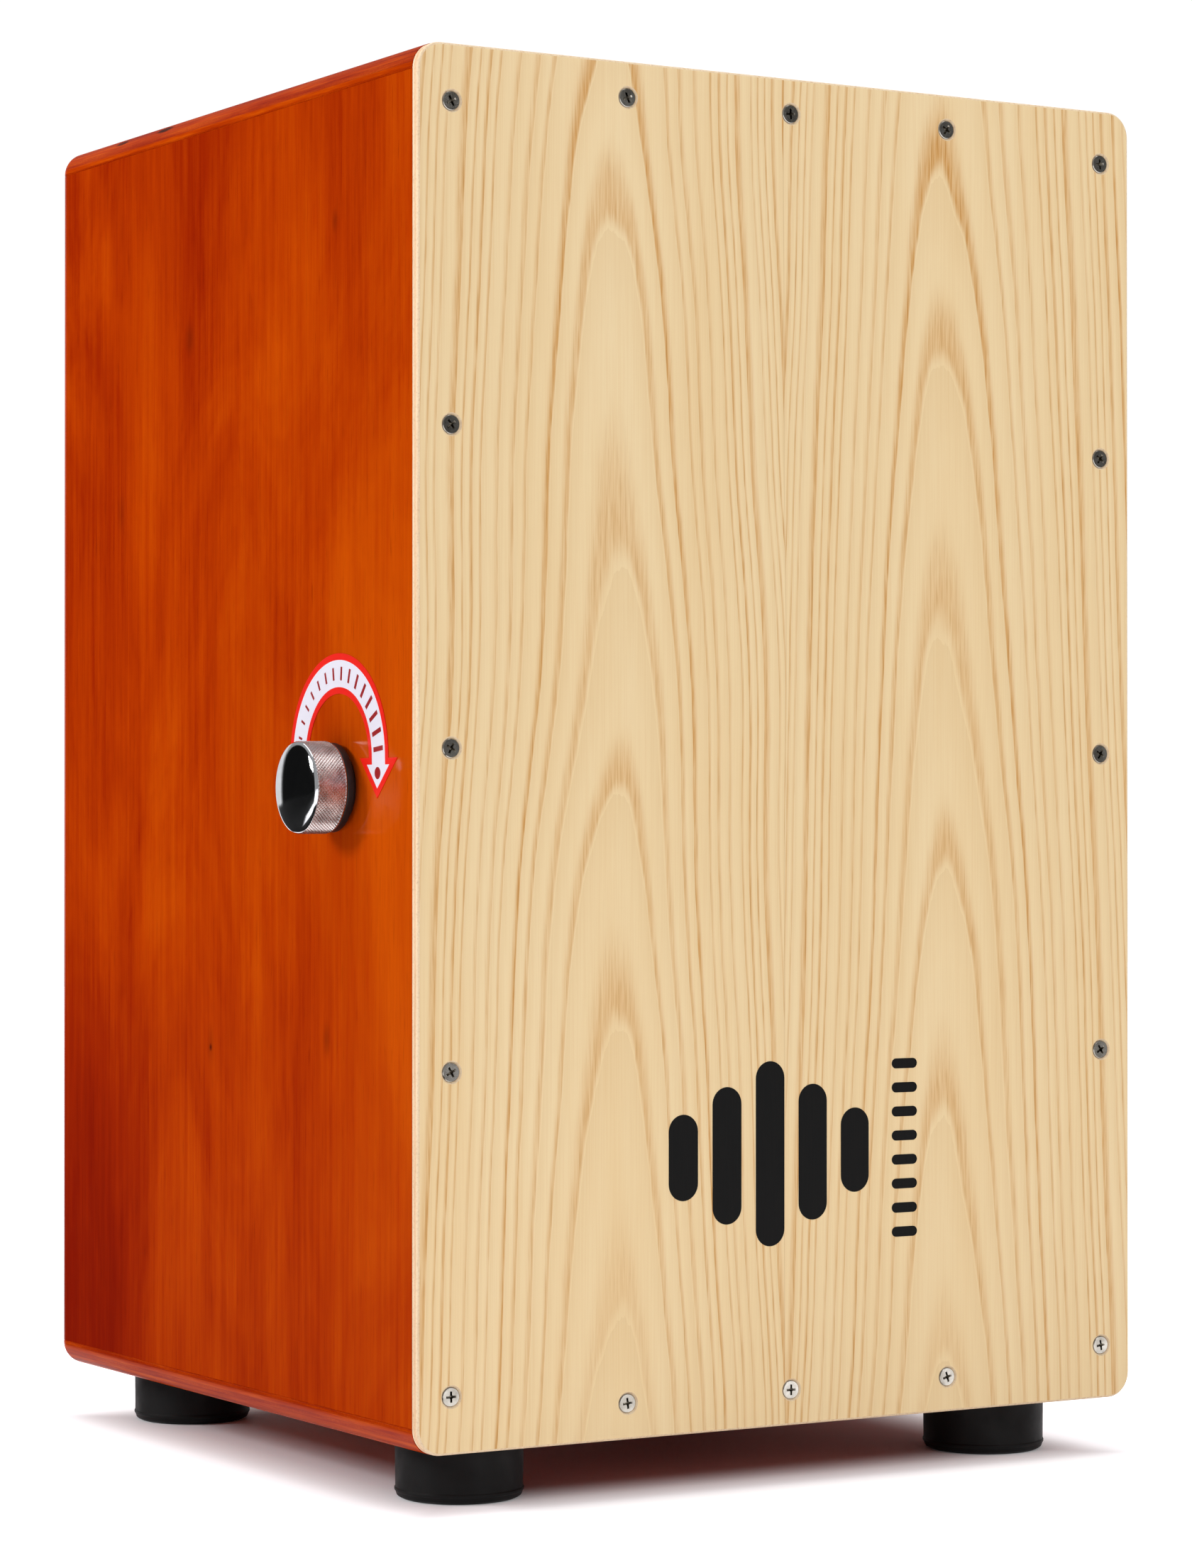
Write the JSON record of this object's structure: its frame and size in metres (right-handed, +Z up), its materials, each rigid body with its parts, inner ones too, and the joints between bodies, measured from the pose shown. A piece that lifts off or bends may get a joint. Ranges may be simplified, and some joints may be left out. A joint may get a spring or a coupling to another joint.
{
  "type": "cajon",
  "caption": "Box drum to sit on: plywood shell, thin screwed front plate, sound hole in the back, rubber feet, and a side knob that turns snare wires on and off.",
  "frame": {"origin": "on the floor under the middle of the drum's bounding box, which includes the knob", "axes": "+Z up, -Y out of the playing face, -X out of the side with the snare knob"},
  "size_m": [0.319, 0.296, 0.496],
  "materials": {
    "stained_ply": "plywood stained reddish orange under gloss lacquer",
    "ash_veneer": "pale book-matched ash veneer, satin lacquer",
    "raw_pine": "planed and unfinished",
    "beech": "planed, oiled",
    "foot_rubber": "moulded, matte black",
    "black_plastic": "moulded, satin",
    "knob_chrome": "polished cap, diamond-knurled grip",
    "nickel_screw": "nickel plated",
    "plain_steel": "zinc plated",
    "snare_steel": "bright drawn wire",
    "label_vinyl": "printed vinyl, white with a red border"
  },
  "bodies": {
    "drum": {"top_panel": "stained_ply", "bottom_panel": "stained_ply", "left_side_panel": "stained_ply", "right_side_panel": "stained_ply", "back_panel": "stained_ply", "front_plate": "ash_veneer", "front_batten_left": "raw_pine", "front_batten_right": "raw_pine", "front_batten_bottom": "raw_pine", "front_batten_top": "raw_pine", "back_batten_left": "raw_pine", "back_batten_right": "raw_pine", "back_batten_bottom": "raw_pine", "back_batten_top": "raw_pine", "front_screw_left_1": "nickel_screw", "front_screw_left_2": "nickel_screw", "front_screw_left_3": "nickel_screw", "front_screw_left_4": "nickel_screw", "front_screw_left_5": "nickel_screw", "front_screw_right_1": "nickel_screw", "front_screw_right_2": "nickel_screw", "front_screw_right_3": "nickel_screw", "front_screw_right_4": "nickel_screw", "front_screw_right_5": "nickel_screw", "front_screw_bottom_1": "nickel_screw", "front_screw_bottom_2": "nickel_screw", "front_screw_bottom_3": "nickel_screw", "front_screw_top_1": "nickel_screw", "front_screw_top_2": "nickel_screw", "front_screw_top_3": "nickel_screw", "foot_front_left": "foot_rubber", "foot_front_right": "foot_rubber", "foot_back_left": "foot_rubber", "foot_back_right": "foot_rubber", "foot_screw_front_left": "plain_steel", "foot_screw_front_right": "plain_steel", "foot_screw_back_left": "plain_steel", "foot_screw_back_right": "plain_steel", "arrow_label": "label_vinyl", "knob_bush": "black_plastic", "knob_bush_nut": "nickel_screw", "bearing_block": "beech", "bearing_bush": "black_plastic", "stop_pin_on": "beech", "stop_pin_off": "beech"},
    "snare": {"knob": "knob_chrome", "knob_skirt": "black_plastic", "knob_grub_screw": "plain_steel", "cross_bar": "beech", "knob_shaft": "plain_steel", "pivot_pin": "plain_steel", "stop_peg": "beech", "snare_arm_left": "plain_steel", "snare_arm_right": "plain_steel", "snare_wires_left": "snare_steel", "snare_wires_right": "snare_steel", "arm_screw_left": "nickel_screw", "arm_screw_right": "nickel_screw", "wire_screw_left": "nickel_screw", "wire_screw_right": "nickel_screw"}
  },
  "joints": [
    {"name": "snare_turn", "type": "hinge", "parent": "drum", "child": "snare", "pos_m": [0.0095, -0.091, 0.2455], "axis": [-1, 0, 0], "range_deg": [0, 180]}
  ]
}
